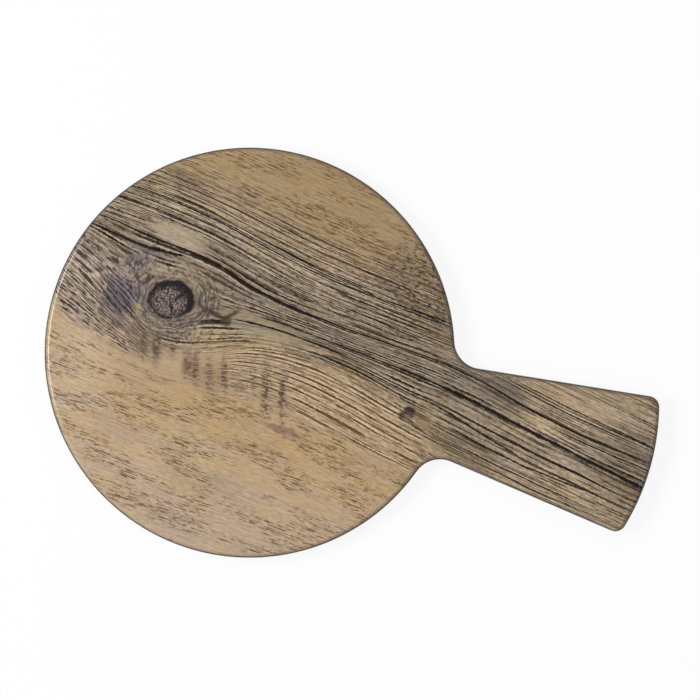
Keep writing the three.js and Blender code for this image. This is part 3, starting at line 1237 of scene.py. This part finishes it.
    # the big knot: thin rings, a black rim, a grey core and its split
    rings = addNode(tree, "TexVoronoi", voronoi_dimensions="1D")
    rings.inputs["Scale"].default_value = values["ringScale"]
    plug(rings.inputs["W"], reach)
    ring = times(
        fadeOut(rings.outputs["Distance"], values["ringLine"]),
        between(reach, values["ringReach"]),
        fadeIn(crowd, values["ringCrowd"]),
        values["ringStrength"],
    )
    colour = painted(colour, values["ringColour"], ring)
    colour = painted(colour, values["knotRim"], fadeOut(reach, values["knotEdge"]))
    knotPlace = raggedBy(*values["knotRagged"])
    core = patchAt(knotPlace, *values["knotCorePlace"], knotTurn, values["knotCoreEdge"])
    grit = fadeIn(noiseAt(place, detail=4, scale=values["knotGrit"]), values["knotGritRange"])
    coreColour = painted(paint(*values["knotRim"]), values["knotCore"], grit)
    colour = mixColour(times(core, values["knotCoreStrength"]), colour, coreColour)
    colour = blotted(colour, fineRagged, values["knotSplits"])

    # the small knot by the neck, then the cracks over everything
    colour = blotted(colour, fineRagged, values["smallKnot"])
    colour = blotted(colour, knotPlace, values["smallKnotCore"])
    colour = blotted(colour, fineRagged, values["smallKnotLines"])
    cracks = 0.0
    for name, start, end, level, endLevel, width in values["cracks"]:
        run = {"From": start, "To": end, "Level": level, "EndLevel": endLevel, "Width": width}
        cracks = largest(onGrain(crackGroup, name, **run), cracks)
    colour = painted(colour, values["crackColour"], cracks)

    # painted shade: the print darkens where the rounded edge turns down to the wall, for the dark outline
    # along the edge
    upright = parted(addNode(tree, "NewGeometry").outputs["Normal"])
    rim = fadeOut(upright["Z"], values["rimShadeFade"])
    colour = painted(colour, values["rimShadeColour"], rim, values["rimShadeStrength"])

    skin, gloss = mouldedSkin(tree, grainGroup, values)
    roughness = largest(gloss, times(rim, values["rimRoughness"]))
    finishShader(shader, values, colour, roughness, skin["Pits"])
    print("wood print:", len(tree.nodes), "nodes")
    return material


# Brown melamine of the body: cloudy colour, pale flecks, satin skin, hem sanded where the flash was

brownMelamine = {
    "dark": (64, 46, 34),
    "pale": (80, 60, 45),
    "fleck": (118, 95, 75),
    "cloud": 16,
    "pit": 0.55,
    "seed": 3.0,
    "fleckRange": (0.6, 0.72, 0.0, 0.6),
    "roughness": (0.34, 0.48),
    "sanded": (104, 83, 65),
    "sandedLevels": (2.3, 2.45, 3.1, 3.35),  # millimetres above the table
    "sandedRagged": 0.6,
    "sandedTilt": (0.75, 0.95),
    "sandedStrength": 0.7,
    "sandedRoughness": 0.68,
    "specular": 0.5,
    "bumpDepth": 0.012 * mm,
}


def makeBrownMelamine(grainGroup):
    values = brownMelamine
    material, tree, shader = newMaterial("brownMelamine")
    skin, gloss = mouldedSkin(tree, grainGroup, values)
    colour = painted(paint(*values["dark"]), values["pale"], fadeIn(skin["Clouds"], cloudRange))
    colour = painted(colour, values["fleck"], mapTo(skin["Pits"], *values["fleckRange"]))

    height = parted(addNode(tree, "TexCoord").outputs["Object"])["Z"]
    facing = parted(addNode(tree, "NewGeometry").outputs["Normal"])["Z"]
    level = timesPlus(skin["Clouds"], values["sandedRagged"], over(height, mm))
    upright = fadeOut(calc("ABSOLUTE", facing), values["sandedTilt"])
    sanded = times(between(level, values["sandedLevels"]), upright)
    colour = painted(colour, values["sanded"], sanded, values["sandedStrength"])
    roughness = largest(gloss, times(sanded, values["sandedRoughness"]))
    finishShader(shader, values, colour, roughness, skin["Pits"])
    print("brown melamine ready")
    return material


# Black rubber of the feet: fine matt grain with a little grey bloom

footRubber = {
    "dark": (22, 22, 23),
    "pale": (44, 43, 42),
    "bloom": (78, 76, 72),
    "cloud": 5,
    "pit": 0.3,
    "seed": 8.0,
    "pitRange": (0.35, 0.65),
    "bloomRange": (0.5, 0.75, 0.0, 0.5),
    "roughness": (0.66, 0.86),
    "bumpDepth": 0.05 * mm,
    "specular": 0.3,
}


def makeFootRubber(grainGroup):
    values = footRubber
    material, tree, shader = newMaterial("footRubber")
    skin, gloss = mouldedSkin(tree, grainGroup, values)
    colour = painted(paint(*values["dark"]), values["pale"], fadeIn(skin["Pits"], values["pitRange"]))
    colour = painted(colour, values["bloom"], mapTo(skin["Clouds"], *values["bloomRange"]))
    finishShader(shader, values, colour, gloss, skin["Pits"])
    print("foot rubber ready")
    return material


# Tissue tape under the feet: pale gum with crossing fibres

tissueTape = {
    "gum": (214, 205, 182),
    "fibre": (238, 233, 220),
    "fibreLength": 3.0,
    "fibreWidth": 0.25,
    "fibreTurns": (20, 80, 140),
    "fibreRange": (0.58, 0.7),
    "roughness": (0.4, 0.7),
    "bumpDepth": 0.02 * mm,
    "specular": 0.5,
    "cloud": 4,
    "pit": 0.4,
    "seed": 12.0,
}


def makeTissueTape(grainGroup):
    values = tissueTape
    material, tree, shader = newMaterial("tissueTape")
    where = addNode(tree, "TexCoord").outputs["Object"]
    fibres = 0.0
    for turn in values["fibreTurns"]:
        laid = addNode(tree, "Mapping", vector_type="TEXTURE")
        plug(laid.inputs["Vector"], where)
        laid.inputs["Rotation"].default_value = (0, 0, math.radians(turn))
        laid.inputs["Scale"].default_value = (values["fibreLength"] * mm, values["fibreWidth"] * mm, 1 * mm)
        strand = fadeIn(noiseAt(laid.outputs[0], detail=1), values["fibreRange"])
        fibres = largest(strand, fibres)
    _, gloss = mouldedSkin(tree, grainGroup, values)
    colour = painted(paint(*values["gum"]), values["fibre"], fibres)
    finishShader(shader, values, colour, gloss, fibres)
    print("tissue tape ready")
    return material


# Stage: white floor, soft light, camera straight above with a long lens

stage = {
    "floorSize": 12,
    "floorColour": (0.95, 0.95, 0.95, 1),
    "floorWhite": 0.9,  # share of plain white that the camera sees; the rest shows the shadow
    "floorRoughness": 0.9,
    "floorBounce": (0.4, 0.4, 0.4, 1),  # what the floor throws back on the board's sides
    "worldStrength": 0.15,
    "keyPower": 29,
    "keyPlace": (-1.28, -0.21, 1.5),
    "keySize": (1.0, 0.64),
    # place and power of the three softer lamps
    "fills": (((1.05, 0.3, 1.7), 4.6), ((-0.3, 1.05, 1.7), 4.6), ((0.3, -1.05, 1.7), 4.6)),
    "fillSize": (1.3, 1.3),
    "cameraHeight": 9,
    "cameraReach": 36,
    "sensorWidth": 36,
    "handleTurn": math.radians(16.2),  # handle below the picture's horizontal
    "pictureWidth": 425.8 * mm,  # of the board's top, across the whole frame
    "aim": (-6.26 * mm, 18.62 * mm),
}


def makeFloorMaterial():
    material, tree, shader = newMaterial("paleFloor")
    shader.inputs["Roughness"].default_value = stage["floorRoughness"]
    shader.inputs["Specular IOR Level"].default_value = 0
    ray = addNode(tree, "LightPath").outputs
    seen = largest(ray["Is Camera Ray"], ray["Is Glossy Ray"], ray["Is Transmission Ray"])
    plug(shader.inputs["Base Color"], mixColour(seen, stage["floorBounce"], stage["floorColour"]))
    white = addNode(tree, "Emission").outputs[0]
    mixed = addNode(tree, "MixShader")
    plugAll(mixed.inputs, (times(seen, stage["floorWhite"]), shader.outputs[0], white))
    plug(tree.nodes["Material Output"].inputs["Surface"], mixed.outputs[0])
    return material


def areaLight(name, place, size, power):
    data = bpy.data.lights.new(name, "AREA")
    data.shape = "RECTANGLE"
    data.size, data.size_y = size
    data.energy = power
    light = bpy.data.objects.new(name, data)
    light.location = place
    light.rotation_euler = (-Vector(place)).to_track_quat("-Z", "Y").to_euler()
    bpy.context.scene.collection.objects.link(light)
    return light


def makeStage():
    pickNothing()
    bpy.ops.mesh.primitive_plane_add(size=stage["floorSize"], location=(0, 0, 0))
    floor = bpy.context.object
    floor.name = "floor"
    floor.data.materials.append(makeFloorMaterial())

    world = bpy.data.worlds.new("studio")
    bpy.context.scene.world = world
    world.use_nodes = True
    background = world.node_tree.nodes["Background"]
    background.inputs["Color"].default_value = (1, 1, 1, 1)
    background.inputs["Strength"].default_value = stage["worldStrength"]
    areaLight("keySoftbox", stage["keyPlace"], stage["keySize"], stage["keyPower"])
    for i, (place, power) in enumerate(stage["fills"]):
        areaLight("fillSoftbox%d" % (i + 1), place, stage["fillSize"], power)

    data = bpy.data.cameras.new("camera")
    camera = bpy.data.objects.new("camera", data)
    bpy.context.scene.collection.objects.link(camera)
    data.sensor_width = stage["sensorWidth"]
    above = stage["cameraHeight"]
    data.lens = data.sensor_width * (above - boardShape["topLevel"]) / stage["pictureWidth"]
    data.clip_end = stage["cameraReach"]
    camera.location = (*stage["aim"], above)
    camera.rotation_euler = (0, 0, stage["handleTurn"])
    bpy.context.scene.camera = camera
    bpy.context.scene.view_settings.view_transform = "Standard"
    print("stage ready")


makeStage()

grainGroup = makeMouldGrain()
rubber = makeFootRubber(grainGroup)
tape = makeTissueTape(grainGroup)
printedTop.data.materials.append(makeWoodPrint(grainGroup))
moulding.data.materials.append(makeBrownMelamine(grainGroup))
for foot in feet:
    foot.data.materials.append(rubber)
for name in tapeNames:
    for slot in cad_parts[name].material_slots:
        slot.material = tape

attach(printedTop, "root")
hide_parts("decor_sheet", "clear_overlay")
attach(moulding, "root")
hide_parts("board_moulding")
for piece, name in zip(feet, footNames):
    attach(piece, "root")
    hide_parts(name)
